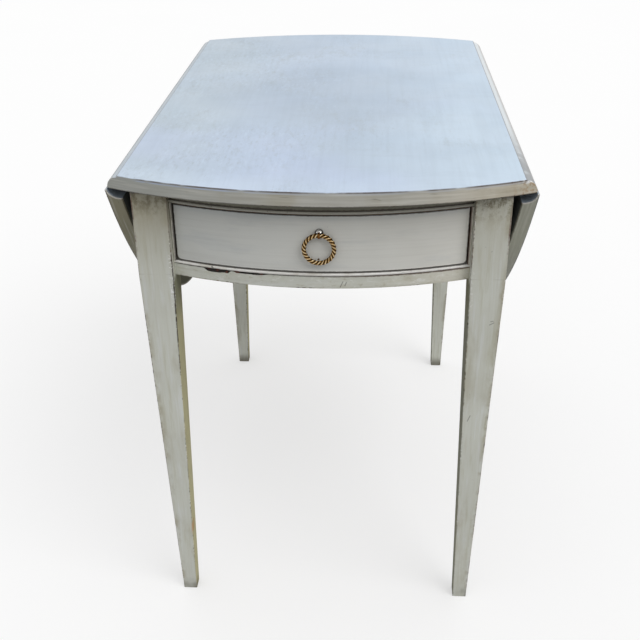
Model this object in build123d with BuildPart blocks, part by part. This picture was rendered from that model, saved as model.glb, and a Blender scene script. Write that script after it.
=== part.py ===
"""Oval drop leaf table: tapered legs, a bow-fronted drawer and two leaves hung on rule joints.

Millimetres, +Z up, origin on the floor under the middle of the table, drawer towards -Y.
"""

import os
from math import asin, cos, degrees, radians, sin, sqrt, tan

from build123d import *

os.makedirs("parts", exist_ok=True)

# Whole table
HEIGHT = 711
TOP_THICK = 19
OVAL_X = 540  # half width of the oval with both leaves up
OVAL_Y = 424  # half length of the oval
UNDER = HEIGHT - TOP_THICK
ARRIS = 1.2  # softened edges of painted wood
FIT = 0.05  # running clearance round pins and screws

# Rule joint: ovolo on the top, cove on the leaf, both about the hinge pin
HINGE_X = 254
HINGE_UP = 1.5  # pin centre above the underside
LIP = 2.5
OVOLO = TOP_THICK - HINGE_UP - LIP
RULE_GAP = 0.6
HANG = 3.8  # degrees that a leaf hangs inward of plumb
HINGE_Z = UNDER + HINGE_UP

# Drop leaf hinges
HINGE_Y = 245
HINGE_WIDE = 36
PLATE = 1.8
BARREL = 3
PIN = 1.5
PIN_HEAD = (2.2, 0.6)  # radius and thickness
TOP_PLATE_LONG = 24
LEAF_PLATE_LONG = 50
KNUCKLE_GAP = 0.3
HINGE_SCREW_LONG = 12
TOP_PLATE_SCREWS = ((-13, -10), (-13, 10))
LEAF_PLATE_SCREWS = ((27, -10), (27, 10), (42, 0))

# Legs
LEG = 46
FOOT = 21
LEG_X = 217
LEG_Y = 350
LEG_IN = LEG_X - LEG / 2
LEG_BACK = LEG_Y - LEG / 2  # inner y face of every leg
RAIL_Z = 568  # bottom of the rails, where the taper starts

# Rails and their tenons
SIDE_RAIL = 18
SIDE_OUT = LEG_IN + SIDE_RAIL
TENON = 22
TENON_THICK = 8
SIDE_TENON_X = (LEG_IN + 5, LEG_IN + 5 + TENON_THICK)
END_TENON_Y = (LEG_BACK + TENON + 1, LEG_BACK + TENON + 1 + TENON_THICK)
TENON_Z = (RAIL_Z + 24, UNDER - 24)

# Bowed front and back
BOW_R = 560
BOW_Y = 394  # face of the bow on the centre line
BOW_CENTRE = BOW_R - BOW_Y
BACK_RAIL = 22
RAIL_BACK_Y = LEG_BACK + 3  # straight back edge of the two drawer rails

# Drawer opening and cock bead
OPEN_LOW = 590
OPEN_HIGH = 670.5
BEAD = 4
BEAD_SIDE = 3.5
BEAD_DEEP = 7
BEAD_PROUD = 1.8
BEAD_ROUND = 1.6
LOWER_TENON_Z = (RAIL_Z + 4, OPEN_LOW - BEAD - 2)
UPPER_TENON_Z = (OPEN_HIGH + BEAD + 2, UNDER - 4)

# Drawer carcase parts
RUNNER_WIDE = 34
RUNNER_TALL = 20
GUIDE_TALL = 20
STOP_X = 110
STOP_SIZE = (30, 14, 6)
STOP_GAP = 0.4

# Drawer
FRONT_HALF = 189.3
FRONT_LOW = 591.2
FRONT_HIGH = 669.2
FRONT_THICK = 22
FRONT_PAD = 15  # flat inside each end, where a side is dovetailed
SIDE_THICK = 10.5
SIDE_LOW = OPEN_LOW + 0.4
SIDE_HIGH = FRONT_HIGH - 0.8
SIDE_FRONT_Y = -338
SIDE_BACK_Y = 298
SIDE_IN = FRONT_HALF - SIDE_THICK
TAIL_DEEP = 13
TAIL_ROOT = 12
TAIL_WIDE = 17
TAIL_Z = (606, 630, 654)
BOTTOM_Z = (599, 605)
BOTTOM_IN = 5
BOTTOM_PLAY = 0.2
BACK_THICK = 10
BACK_Y = SIDE_BACK_Y - 2 - BACK_THICK
BACK_HOUSED = 3
BACK_HIGH = 664
GUIDE_IN = FRONT_HALF + 0.7

# Ring pull
RING_R = 19
WIRE = 3.1
PULL_Z = 645.2
PULL_Y = -(BOW_Y + 6)
BALL = 5.5
BALL_Y = -(BOW_Y + 2.1)
POST_Z = PULL_Z + 1.4  # ball and shank, a little above the ring's own pivot
EYE = WIRE + 0.4
LUG = (4.4, 3)  # radius and width of the eye on the ball
SHANK = 2.5
NUT_FLATS = 9
NUT_TALL = 4
WASHER = (7, 1)
PEG_HOLE = (1.1, 5)
PEG_Z = 609.5

# Fly brackets, which swing out under the leaves
FLY_RAIL = 20
FLY_X = SIDE_OUT + FLY_RAIL / 2
FLY_Y = -20  # knuckle pin
FLY_REACH = 220
FLY_THICK = 19
FLY_TIP = 45
FLY_DROP = 0.8  # air between the bracket and the top
KNUCKLE = 9.5
KNUCKLE_SEAT = 10.3
FINGERS = 5
FINGER_GAP = 0.4
FLY_PIN = 3

# Wood screws: shank radius, head radius, length
TOP_SCREW = (2.2, 4.4, 32)
FLY_SCREW = (2.2, 4.4, 34)
HINGE_SCREW = (1.6, 3.2, HINGE_SCREW_LONG)
SINK = 82  # countersink angle
NAIL = (0.9, 2.2, 21)
TOP_SCREW_Y = (-250, 0, 250)
FLY_SCREW_Y = (-270, -120, 235, 295)
FLY_SCREW_Z = 640
NAIL_X = (-120, 0, 120)


def write(builder, label):
    """Label a finished piece and save it."""
    builder.part.label = label
    export_step(builder.part, f"parts/{label}.step")


def block(x, y, z, mode=Mode.ADD):
    """Box between the two ends given on each axis."""
    ends = (x, y, z)
    with Locations(tuple(sum(pair) / 2 for pair in ends)):
        Box(*(abs(high - low) for low, high in ends), mode=mode)


def mirrored(side, low, high):
    """Two x ends on the left (-1) or right (1) of the table."""
    return (side * low, side * high)


def bow_y(radius, x):
    """Front face of an arc that is concentric with the bow."""
    return BOW_CENTRE - sqrt(radius**2 - x**2)


def bow_arc(radius, half, end):
    """Bowed line across the front (end -1) or back (end 1)."""
    return ThreePointArc(
        (-half, -end * bow_y(radius, half)),
        (0, -end * (BOW_CENTRE - radius)),
        (half, -end * bow_y(radius, half)),
    )


def bow_band(outer, inner, half, end=-1):
    """Strip between two concentric bows."""
    with BuildLine() as outline:
        front = bow_arc(outer, half, end)
        back = bow_arc(inner, half, end)
        Line(front @ 0, back @ 0)
        Line(front @ 1, back @ 1)
    make_face(outline.edges())


def hinge_plane(side, turned=0):
    """Plane at a hinge line: x outward along the board, z out of its upper face."""
    turn = radians(turned)
    return Plane(
        origin=(side * HINGE_X, 0, HINGE_Z),
        x_dir=(side * cos(turn), 0, -sin(turn)),
        z_dir=(side * sin(turn), 0, cos(turn)),
    )


def across(plane, along=0):
    """Section plane of a hinge line, with its normal along the pin."""
    origin = plane.from_local_coords((0, along, 0))
    return Plane(origin=origin, x_dir=plane.x_dir, z_dir=plane.y_dir)


def screw_planes(plane, spots):
    """Planes on the board's underside, facing away from the wood."""
    places = []
    for hinge_y in (-HINGE_Y, HINGE_Y):
        for out, along in spots:
            origin = plane.from_local_coords((out, hinge_y + along, -HINGE_UP))
            places.append(Plane(origin=origin, x_dir=plane.x_dir, z_dir=-plane.z_dir))
    return places


def wood_screw(shank, head, length):
    """Slotted countersunk screw, its head flush at the origin and its point down -Z."""
    sink = (head - shank) / tan(radians(SINK / 2))
    with BuildPart() as piece:
        with BuildSketch(Plane.XZ):
            Polygon(
                (0, 0),
                (head, 0),
                (shank, -sink),
                (shank, 2 * shank - length),
                (0, -length),
                align=None,
            )
        revolve(axis=Axis.Z)
        block((-head, head), (-0.4, 0.4), (-sink / 3, 0), Mode.SUBTRACT)
    return piece.part


def screw_group(label, screw, places):
    """Identical screws in one node."""
    solid = wood_screw(*screw)
    with BuildPart() as group:
        with Locations(*places):
            add(solid)
    write(group, label)


def sink_holes(screw, places):
    """Countersunk holes through a piece."""
    shank, head, length = screw
    with Locations(*places):
        CounterSinkHole(shank + FIT, head + FIT, depth=length + 1, counter_sink_angle=SINK)


def pilot_holes(screw, places):
    """Plain holes for the threads."""
    shank, _, length = screw
    with Locations(*places):
        Hole(shank + FIT, depth=length + 1)


TOP_SCREWS = {
    side: [
        Plane((side * (LEG_IN - RUNNER_WIDE / 2), y, UNDER - RUNNER_TALL), x_dir=(1, 0, 0), z_dir=(0, 0, -1))
        for y in TOP_SCREW_Y
    ]
    for side in (-1, 1)
}
FLY_SCREWS = {
    side: [
        Plane((side * LEG_IN, y, FLY_SCREW_Z), x_dir=(0, 1, 0), z_dir=(-side, 0, 0)) for y in FLY_SCREW_Y
    ]
    for side in (-1, 1)
}

# Fixed top
with BuildPart() as top_board:
    with BuildSketch(Plane.XZ):
        with BuildLine():
            Polyline((0, UNDER), (HINGE_X + OVOLO, UNDER), (HINGE_X + OVOLO, HINGE_Z))
            CenterArc((HINGE_X, HINGE_Z), OVOLO, 0, 90)
            Polyline((HINGE_X, HINGE_Z + OVOLO), (HINGE_X, HEIGHT), (0, HEIGHT), (0, UNDER))
        make_face()
        mirror(about=Plane.YZ)
    extrude(amount=OVAL_Y, both=True)
    with BuildSketch(Plane.XY.offset(UNDER)):
        Ellipse(OVAL_X, OVAL_Y)
    extrude(amount=TOP_THICK, mode=Mode.INTERSECT)
    for level in (0, -1):
        flat = top_board.faces().sort_by(Axis.Z)[level]
        fillet(flat.edges().filter_by(GeomType.LINE, reverse=True), ARRIS)
    for side in (-1, 1):
        for hinge_y in (-HINGE_Y, HINGE_Y):
            wide = (hinge_y - HINGE_WIDE / 2 - KNUCKLE_GAP, hinge_y + HINGE_WIDE / 2 + KNUCKLE_GAP)
            plate_x = mirrored(side, HINGE_X - TOP_PLATE_LONG, HINGE_X)
            strap_x = mirrored(side, HINGE_X, HINGE_X + OVOLO)
            block(plate_x, wide, (UNDER, UNDER + PLATE), Mode.SUBTRACT)
            block(strap_x, wide, (UNDER, UNDER + PLATE + RULE_GAP), Mode.SUBTRACT)
            with BuildSketch(across(hinge_plane(side), side * hinge_y)):
                Circle(BARREL + RULE_GAP)
            extrude(amount=wide[1] - hinge_y, both=True, mode=Mode.SUBTRACT)
        pilot_holes(HINGE_SCREW, screw_planes(hinge_plane(side), TOP_PLATE_SCREWS))
        pilot_holes(TOP_SCREW, TOP_SCREWS[side])
write(top_board, "top_board")


# Legs, square at the rails and tapered on all four faces below them
def leg(label, side, end):
    foot = Plane((side * LEG_X, end * LEG_Y, 0))
    with BuildPart() as piece:
        with BuildSketch(foot):
            Rectangle(FOOT, FOOT)
        with BuildSketch(foot.offset(RAIL_Z)):
            Rectangle(LEG, LEG)
        loft()
        with BuildSketch(foot.offset(RAIL_Z)):
            Rectangle(LEG, LEG)
        extrude(amount=UNDER - RAIL_Z)
        fillet(piece.edges().filter_by(lambda edge: edge.length > 2 * LEG), ARRIS)
        end_z = (TENON_Z,) if end > 0 else (LOWER_TENON_Z, UPPER_TENON_Z)
        side_y = (end * LEG_BACK, end * (LEG_BACK + TENON))
        block(mirrored(side, *SIDE_TENON_X), side_y, TENON_Z, Mode.SUBTRACT)
        for tenon_z in end_z:
            end_x = mirrored(side, LEG_IN, LEG_IN + TENON)
            end_y = tuple(end * y for y in END_TENON_Y)
            block(end_x, end_y, tenon_z, Mode.SUBTRACT)
    write(piece, label)


for side, hand in ((-1, "left"), (1, "right")):
    leg(f"leg_front_{hand}", side, -1)
    leg(f"leg_back_{hand}", side, 1)


# Side rails, tenoned into the legs
def side_rail(label, side):
    with BuildPart() as piece:
        block(mirrored(side, LEG_IN, SIDE_OUT), (-LEG_BACK, LEG_BACK), (RAIL_Z, UNDER))
        block(mirrored(side, *SIDE_TENON_X), (-LEG_BACK - TENON, LEG_BACK + TENON), TENON_Z)
        sink_holes(FLY_SCREW, FLY_SCREWS[side])
    write(piece, label)


# Fixed outer rails, the front one ending in knuckle fingers
def finger_spans(fly):
    """Heights of the fingers of the fly bracket, or of its rail."""
    pitch = (UNDER - RAIL_Z) / FINGERS
    first = 1 if fly else 0
    return [(RAIL_Z + pitch * n, RAIL_Z + pitch * (n + 1)) for n in range(first, FINGERS, 2)]


def knuckle_cylinder(side, radius, span, mode):
    with BuildSketch(Plane((side * FLY_X, FLY_Y, span[0]))) as round_end:
        Circle(radius)
    extrude(round_end.sketch, amount=span[1] - span[0], mode=mode)


def knuckle_joint(side, fly):
    """Shape one half of the knuckle: its own fingers, and seats for the other half's.

    A 45 degree bevel outside the pin lets the bracket swing square to the rail.
    """
    outward = side * FLY_RAIL
    back = FLY_RAIL if fly else -FLY_RAIL
    with BuildSketch(Plane((side * FLY_X, FLY_Y, RAIL_Z))) as bevel:
        Polygon((0, 0), (outward, 0), (outward, back), align=None)
    extrude(bevel.sketch, amount=UNDER - RAIL_Z, mode=Mode.SUBTRACT)
    for low, high in finger_spans(not fly):
        knuckle_cylinder(side, KNUCKLE_SEAT, (low - FINGER_GAP, high + FINGER_GAP), Mode.SUBTRACT)
    for span in finger_spans(fly):
        knuckle_cylinder(side, KNUCKLE, (span[0] + FINGER_GAP, span[1] - FINGER_GAP), Mode.ADD)
    knuckle_cylinder(side, FLY_PIN + FIT, (RAIL_Z, UNDER), Mode.SUBTRACT)


def fly_rails(hand, side):
    rail_x = mirrored(side, SIDE_OUT, SIDE_OUT + FLY_RAIL)
    with BuildPart() as front:
        block(rail_x, (-LEG_BACK, FLY_Y), (RAIL_Z, UNDER))
        knuckle_joint(side, fly=False)
        pilot_holes(FLY_SCREW, FLY_SCREWS[side][:2])
    write(front, f"fly_rail_front_{hand}")
    with BuildPart() as back:
        block(rail_x, (FLY_Y + FLY_REACH + 2, LEG_BACK), (RAIL_Z, UNDER))
        pilot_holes(FLY_SCREW, FLY_SCREWS[side][2:])
    write(back, f"fly_rail_back_{hand}")
    with BuildPart() as pin:
        with BuildSketch(Plane((side * FLY_X, FLY_Y, RAIL_Z + 1))):
            Circle(FLY_PIN)
        extrude(amount=UNDER - RAIL_Z - 2)
    write(pin, f"fly_pin_{hand}")


def fly_bracket(label, side):
    top = UNDER - FLY_DROP
    tip = FLY_Y + FLY_REACH
    root = FLY_Y + 30
    start = side * FLY_X - FLY_THICK / 2
    with BuildPart() as piece:
        with BuildSketch(Plane.YZ.offset(start)):
            with BuildLine():
                Polyline((root, RAIL_Z), (FLY_Y, RAIL_Z), (FLY_Y, top), (tip, top), (tip, top - FLY_TIP))
                Bezier((tip, top - FLY_TIP), (root + 70, top - FLY_TIP), (root + 60, RAIL_Z), (root, RAIL_Z))
            make_face()
        extrude(amount=FLY_THICK)
        knuckle_joint(side, fly=True)
    write(piece, label)


for side, hand in ((-1, "left"), (1, "right")):
    side_rail(f"side_rail_{hand}", side)
    fly_rails(hand, side)
    fly_bracket(f"fly_{hand}", side)
screw_group("fly_rail_screws", FLY_SCREW, FLY_SCREWS[-1] + FLY_SCREWS[1])

# Bowed back rail
with BuildPart() as back_rail:
    with BuildSketch(Plane.XY.offset(RAIL_Z)):
        bow_band(BOW_R, BOW_R - BACK_RAIL, LEG_IN, end=1)
    extrude(amount=UNDER - RAIL_Z)
    block((-LEG_IN - TENON, LEG_IN + TENON), END_TENON_Y, TENON_Z)
write(back_rail, "back_rail")


# Drawer rails: flat boards with a bowed front edge, rebated for the bead
def drawer_rail(label, rail_z, bead_z, tenon_z):
    with BuildPart() as piece:
        with BuildSketch(Plane.XY.offset(rail_z[0])):
            with BuildLine():
                front = bow_arc(BOW_R, LEG_IN, -1)
                Polyline(front @ 0, (-LEG_IN, -RAIL_BACK_Y), (LEG_IN, -RAIL_BACK_Y), front @ 1)
            make_face()
        extrude(amount=rail_z[1] - rail_z[0])
        block((-LEG_IN - TENON, LEG_IN + TENON), tuple(-y for y in END_TENON_Y), tenon_z)
        with BuildSketch(Plane.XY.offset(bead_z)):
            bow_band(BOW_R + 1, BOW_R - BEAD_DEEP, LEG_IN)
        extrude(amount=BEAD, mode=Mode.SUBTRACT)
    write(piece, label)


LOWER_BEAD_Z = OPEN_LOW - BEAD
drawer_rail("front_lower_rail", (RAIL_Z, OPEN_LOW), LOWER_BEAD_Z, LOWER_TENON_Z)
drawer_rail("front_upper_rail", (OPEN_HIGH, UNDER), OPEN_HIGH, UPPER_TENON_Z)


# Cock bead with a rounded nose round the drawer opening
def bowed_bead(label, low):
    with BuildPart() as piece:
        with BuildSketch(Plane.XY.offset(low)):
            bow_band(BOW_R + BEAD_PROUD, BOW_R - BEAD_DEEP, LEG_IN)
        extrude(amount=BEAD)
        nose = piece.faces().filter_by(GeomType.CYLINDER).sort_by(Axis.Y)[0]
        fillet(nose.edges().filter_by(GeomType.CIRCLE), BEAD_ROUND)
    write(piece, label)


def side_bead(label, side):
    face_y = bow_y(BOW_R, FRONT_HALF) - BEAD_PROUD
    with BuildPart() as piece:
        bead_x = mirrored(side, LEG_IN - BEAD_SIDE, LEG_IN)
        block(bead_x, (face_y, face_y + BEAD_DEEP + BEAD_PROUD), (OPEN_LOW, OPEN_HIGH))
        nose = piece.faces().sort_by(Axis.Y)[0]
        fillet(nose.edges().filter_by(Axis.Z), BEAD_ROUND)
    write(piece, label)


bowed_bead("bead_bottom", LOWER_BEAD_Z)
bowed_bead("bead_top", OPEN_HIGH)


# Runner, guide and kicker that carry the drawer on each side
def drawer_slides(hand, side):
    strip_x = mirrored(side, LEG_IN - RUNNER_WIDE, LEG_IN)
    strip_y = (-RAIL_BACK_Y, RAIL_BACK_Y)
    with BuildPart() as runner:
        block(strip_x, strip_y, (OPEN_LOW - RUNNER_TALL, OPEN_LOW))
    write(runner, f"drawer_runner_{hand}")
    with BuildPart() as guide:
        block(mirrored(side, GUIDE_IN, LEG_IN), strip_y, (OPEN_LOW, OPEN_LOW + GUIDE_TALL))
    write(guide, f"drawer_guide_{hand}")
    with BuildPart() as kicker:
        block(strip_x, strip_y, (UNDER - RUNNER_TALL, UNDER))
        sink_holes(TOP_SCREW, TOP_SCREWS[side])
    write(kicker, f"drawer_kicker_{hand}")


for side, hand in ((-1, "left"), (1, "right")):
    side_bead(f"bead_{hand}", side)
    drawer_slides(hand, side)
screw_group("top_screws", TOP_SCREW, TOP_SCREWS[-1] + TOP_SCREWS[1])

# Inside of the drawer front: an arc between two flat pads
FRONT_IN_HALF = FRONT_HALF - FRONT_PAD
FRONT_IN_Y = -BOW_Y + FRONT_THICK
FRONT_IN_RISE = SIDE_FRONT_Y - FRONT_IN_Y
FRONT_IN_R = (FRONT_IN_HALF**2 + FRONT_IN_RISE**2) / (2 * FRONT_IN_RISE)


def front_in_y(x):
    """Inner face of the drawer front."""
    return FRONT_IN_Y + FRONT_IN_R - sqrt(FRONT_IN_R**2 - x**2)


with BuildPart() as drawer_stops:
    stop_y = front_in_y(STOP_X + STOP_SIZE[0] / 2) + STOP_GAP
    for side in (-1, 1):
        stop_x = (side * STOP_X - STOP_SIZE[0] / 2, side * STOP_X + STOP_SIZE[0] / 2)
        block(stop_x, (stop_y, stop_y + STOP_SIZE[1]), (OPEN_LOW, OPEN_LOW + STOP_SIZE[2]))
write(drawer_stops, "drawer_stops")


def bottom_panel(play):
    """Drawer bottom's outline, smaller all round than its grooves by play."""
    half = SIDE_IN + BOTTOM_IN - play
    rear = SIDE_BACK_Y
    with BuildLine() as outline:
        front = ThreePointArc(
            (-FRONT_IN_HALF, SIDE_FRONT_Y - BOTTOM_IN + play),
            (0, FRONT_IN_Y - BOTTOM_IN + play),
            (FRONT_IN_HALF, SIDE_FRONT_Y - BOTTOM_IN + play),
        )
        Polyline(
            front @ 1,
            (half, SIDE_FRONT_Y - BOTTOM_IN + play),
            (half, rear),
            (-half, rear),
            (-half, SIDE_FRONT_Y - BOTTOM_IN + play),
            front @ 0,
        )
    make_face(outline.edges())


def bottom_groove():
    with BuildSketch(Plane.XY.offset(BOTTOM_Z[0])) as panel:
        bottom_panel(0)
    extrude(panel.sketch, amount=BOTTOM_Z[1] - BOTTOM_Z[0], mode=Mode.SUBTRACT)


def dovetails(side, mode):
    """Tails that lock a drawer side into the front, wider at their ends."""
    for tail_z in TAIL_Z:
        with BuildSketch(Plane.YZ.offset(min(mirrored(side, SIDE_IN, FRONT_HALF)))) as tail:
            Polygon(
                (SIDE_FRONT_Y, tail_z - TAIL_ROOT / 2),
                (SIDE_FRONT_Y - TAIL_DEEP, tail_z - TAIL_WIDE / 2),
                (SIDE_FRONT_Y - TAIL_DEEP, tail_z + TAIL_WIDE / 2),
                (SIDE_FRONT_Y, tail_z + TAIL_ROOT / 2),
                align=None,
            )
        extrude(tail.sketch, amount=SIDE_THICK, mode=mode)


# Drawer front
with BuildPart() as drawer_front:
    with BuildSketch(Plane.XY.offset(FRONT_LOW)):
        with BuildLine():
            face = bow_arc(BOW_R, FRONT_HALF, -1)
            Polyline(face @ 1, (FRONT_HALF, SIDE_FRONT_Y), (FRONT_IN_HALF, SIDE_FRONT_Y))
            ThreePointArc((FRONT_IN_HALF, SIDE_FRONT_Y), (0, FRONT_IN_Y), (-FRONT_IN_HALF, SIDE_FRONT_Y))
            Polyline((-FRONT_IN_HALF, SIDE_FRONT_Y), (-FRONT_HALF, SIDE_FRONT_Y), face @ 0)
        make_face()
    extrude(amount=FRONT_HIGH - FRONT_LOW)
    shown = drawer_front.faces().filter_by(GeomType.CYLINDER).sort_by(Axis.Y)[0]
    fillet(shown.edges(), ARRIS)
    for side in (-1, 1):
        dovetails(side, Mode.SUBTRACT)
    bottom_groove()
    with Locations(Plane((0, -BOW_Y, POST_Z), x_dir=(1, 0, 0), z_dir=(0, -1, 0))):
        Hole(SHANK + FIT, depth=2 * FRONT_THICK)
    with Locations(Plane((-1, -BOW_Y, PEG_Z), x_dir=(1, 0, 0), z_dir=(0, -1, 0))):
        Hole(PEG_HOLE[0], depth=PEG_HOLE[1])
write(drawer_front, "drawer_front")


# Drawer sides, dovetailed to the front and housed for the back
def drawer_side(label, side):
    with BuildPart() as piece:
        block(mirrored(side, SIDE_IN, FRONT_HALF), (SIDE_FRONT_Y, SIDE_BACK_Y), (SIDE_LOW, SIDE_HIGH))
        fillet(piece.faces().sort_by(Axis.Z)[-1].edges().filter_by(Axis.Y), ARRIS)
        dovetails(side, Mode.ADD)
        bottom_groove()
        back_y = (BACK_Y, BACK_Y + BACK_THICK)
        block(mirrored(side, SIDE_IN, SIDE_IN + BACK_HOUSED), back_y, (BOTTOM_Z[1], BACK_HIGH), Mode.SUBTRACT)
    write(piece, label)


drawer_side("drawer_side_left", -1)
drawer_side("drawer_side_right", 1)

NAILS = [
    Plane((x, BACK_Y + BACK_THICK / 2, BOTTOM_Z[0] + BOTTOM_PLAY), x_dir=(1, 0, 0), z_dir=(0, 0, -1))
    for x in NAIL_X
]
with BuildPart() as drawer_back:
    back_half = SIDE_IN + BACK_HOUSED
    block((-back_half, back_half), (BACK_Y, BACK_Y + BACK_THICK), (BOTTOM_Z[1], BACK_HIGH))
    pilot_holes(NAIL, NAILS)
write(drawer_back, "drawer_back")

with BuildPart() as drawer_bottom:
    with BuildSketch(Plane.XY.offset(BOTTOM_Z[0] + BOTTOM_PLAY)):
        bottom_panel(BOTTOM_PLAY)
    extrude(amount=BOTTOM_Z[1] - BOTTOM_Z[0] - BOTTOM_PLAY)
    sink_holes(NAIL, NAILS)
write(drawer_bottom, "drawer_bottom")
screw_group("drawer_nails", NAIL, NAILS)

# Ring pull: a ball seated on the drawer front, with an eye for the ring, bolted through
with BuildPart() as pull_post:
    with BuildSketch(Plane.XY.offset(POST_Z)):
        with BuildLine():
            seat = degrees(asin((-BOW_Y - BALL_Y) / BALL))
            ball = CenterArc((0, BALL_Y), BALL, -90, 90 + seat)
            Polyline(
                ball @ 1,
                (SHANK, -BOW_Y),
                (SHANK, FRONT_IN_Y + WASHER[1] + NUT_TALL + 1),
                (0, FRONT_IN_Y + WASHER[1] + NUT_TALL + 1),
                ball @ 0,
            )
        make_face()
    revolve(axis=Axis((0, 0, POST_Z), (0, 1, 0)))
    with BuildSketch(Plane.YZ):
        with Locations((PULL_Y, PULL_Z)):
            Circle(LUG[0])
    extrude(amount=LUG[1] / 2, both=True)
    with BuildSketch(Plane.YZ):
        with Locations((PULL_Y, PULL_Z)):
            Circle(EYE)
    extrude(amount=BALL + 1, both=True, mode=Mode.SUBTRACT)
write(pull_post, "pull_post")

with BuildPart() as pull_nut:
    nut_plane = Plane((0, FRONT_IN_Y + 0.1, POST_Z), x_dir=(1, 0, 0), z_dir=(0, 1, 0))
    with BuildSketch(nut_plane):
        Circle(WASHER[0])
    extrude(amount=WASHER[1])
    with BuildSketch(nut_plane.offset(WASHER[1])):
        RegularPolygon(NUT_FLATS / 2, 6, major_radius=False)
    extrude(amount=NUT_TALL)
    with BuildSketch(nut_plane):
        Circle(SHANK + FIT)
    extrude(amount=WASHER[1] + NUT_TALL, mode=Mode.SUBTRACT)
write(pull_nut, "pull_nut")

with BuildPart() as pull_ring:
    with BuildSketch(Plane.YZ):
        with Locations((PULL_Y, PULL_Z)):
            Circle(WIRE)
    revolve(axis=Axis((0, PULL_Y, PULL_Z - RING_R), (0, 1, 0)))
write(pull_ring, "pull_ring")


# Leaves, drawn on their hanging plane
def leaf(label, side):
    plane = hinge_plane(side, 90 + HANG)
    with BuildPart() as piece:
        with BuildSketch(plane.offset(-HINGE_UP)):
            with Locations((-HINGE_X, 0)):
                Ellipse(OVAL_X, OVAL_Y)
            with Locations((RULE_GAP + OVAL_X / 2, 0)):
                Rectangle(OVAL_X, 2 * OVAL_Y, mode=Mode.INTERSECT)
        extrude(amount=TOP_THICK)
        fillet(piece.edges().filter_by(GeomType.ELLIPSE), ARRIS)
        with BuildSketch(across(plane)):
            Circle(OVOLO + RULE_GAP)
        extrude(amount=OVAL_Y, both=True, mode=Mode.SUBTRACT)
        for hinge_y in (-HINGE_Y, HINGE_Y):
            with BuildSketch(plane.offset(-HINGE_UP)):
                with Locations((LEAF_PLATE_LONG / 2, hinge_y)):
                    Rectangle(LEAF_PLATE_LONG, HINGE_WIDE)
            extrude(amount=PLATE, mode=Mode.SUBTRACT)
        pilot_holes(HINGE_SCREW, screw_planes(plane, LEAF_PLATE_SCREWS))
    write(piece, label)
    return piece.part.center(CenterOf.MASS)


# Hinges: the top plate carries the outer knuckles, the leaf plate the middle one
def hinge_plate(label, plane, hinge_y, reach, knuckles, spots):
    """Plate from the pin to reach, with knuckles given as (middle, length) along the pin."""
    root = (BARREL + KNUCKLE_GAP) * (1 if reach > 0 else -1)
    with BuildPart() as piece:
        with BuildSketch(plane.offset(-HINGE_UP)):
            with Locations(((root + reach) / 2, hinge_y)):
                Rectangle(abs(reach - root), HINGE_WIDE)
            for middle, length in knuckles:
                with Locations((root / 2, hinge_y + middle)):
                    Rectangle(abs(root), length)
        extrude(amount=PLATE)
        for middle, length in knuckles:
            with BuildSketch(across(plane, hinge_y + middle)):
                Circle(BARREL)
            extrude(amount=length / 2, both=True)
        with BuildSketch(across(plane, hinge_y)):
            Circle(PIN + FIT)
        extrude(amount=HINGE_WIDE, both=True, mode=Mode.SUBTRACT)
        places = screw_planes(plane, spots)
        count = len(spots)
        sink_holes(HINGE_SCREW, places[:count] if hinge_y < 0 else places[count:])
    write(piece, label)


def hinge_pin(label, plane, hinge_y):
    """Pin with a thin head at each end of the barrel."""
    head, thick = PIN_HEAD
    with BuildPart() as piece:
        with BuildSketch(across(plane, hinge_y)):
            Circle(PIN)
        extrude(amount=HINGE_WIDE / 2, both=True)
        for end in (-1, 1):
            with BuildSketch(across(plane, hinge_y + end * (HINGE_WIDE - thick) / 2)):
                Circle(head)
            extrude(amount=thick / 2, both=True)
    write(piece, label)


# The pin's heads take the ends of the barrel, so the outer knuckles are that much shorter
THIRD = HINGE_WIDE / 3
OUTER_LONG = THIRD - KNUCKLE_GAP - PIN_HEAD[1]
OUTER_MIDDLE = THIRD - PIN_HEAD[1] / 2
OUTER_KNUCKLES = ((-OUTER_MIDDLE, OUTER_LONG), (OUTER_MIDDLE, OUTER_LONG))
MIDDLE_KNUCKLE = ((0, THIRD - KNUCKLE_GAP),)
TOP_PLATE = (-TOP_PLATE_LONG, OUTER_KNUCKLES, TOP_PLATE_SCREWS)
LEAF_PLATE = (LEAF_PLATE_LONG, MIDDLE_KNUCKLE, LEAF_PLATE_SCREWS)
for side, hand in ((-1, "left"), (1, "right")):
    middle = leaf(f"leaf_{hand}", side)
    print(f"leaf_{hand}: mass centre {abs(middle.X) - HINGE_X:.2f} mm outside its hinge line")
    closed = hinge_plane(side)
    hung = hinge_plane(side, 90 + HANG)
    for end, place in ((-1, "front"), (1, "back")):
        along = side * end * HINGE_Y
        hinge_plate(f"hinge_top_plate_{hand}_{place}", closed, along, *TOP_PLATE)
        hinge_plate(f"hinge_leaf_plate_{hand}_{place}", hung, along, *LEAF_PLATE)
        hinge_pin(f"hinge_pin_{hand}_{place}", closed, along)
    screw_group(f"hinge_top_screws_{hand}", HINGE_SCREW, screw_planes(closed, TOP_PLATE_SCREWS))
    screw_group(f"hinge_leaf_screws_{hand}", HINGE_SCREW, screw_planes(hung, LEAF_PLATE_SCREWS))
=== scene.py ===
"""Looks of the oval drop leaf table: antique-glazed paint, bare wood inside, a rope-twist brass ring.

Metres, +Z up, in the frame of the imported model.
"""

from math import cos, hypot, pi, radians, sin

import bmesh
import bpy
from mathutils import Matrix, Vector


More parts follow.
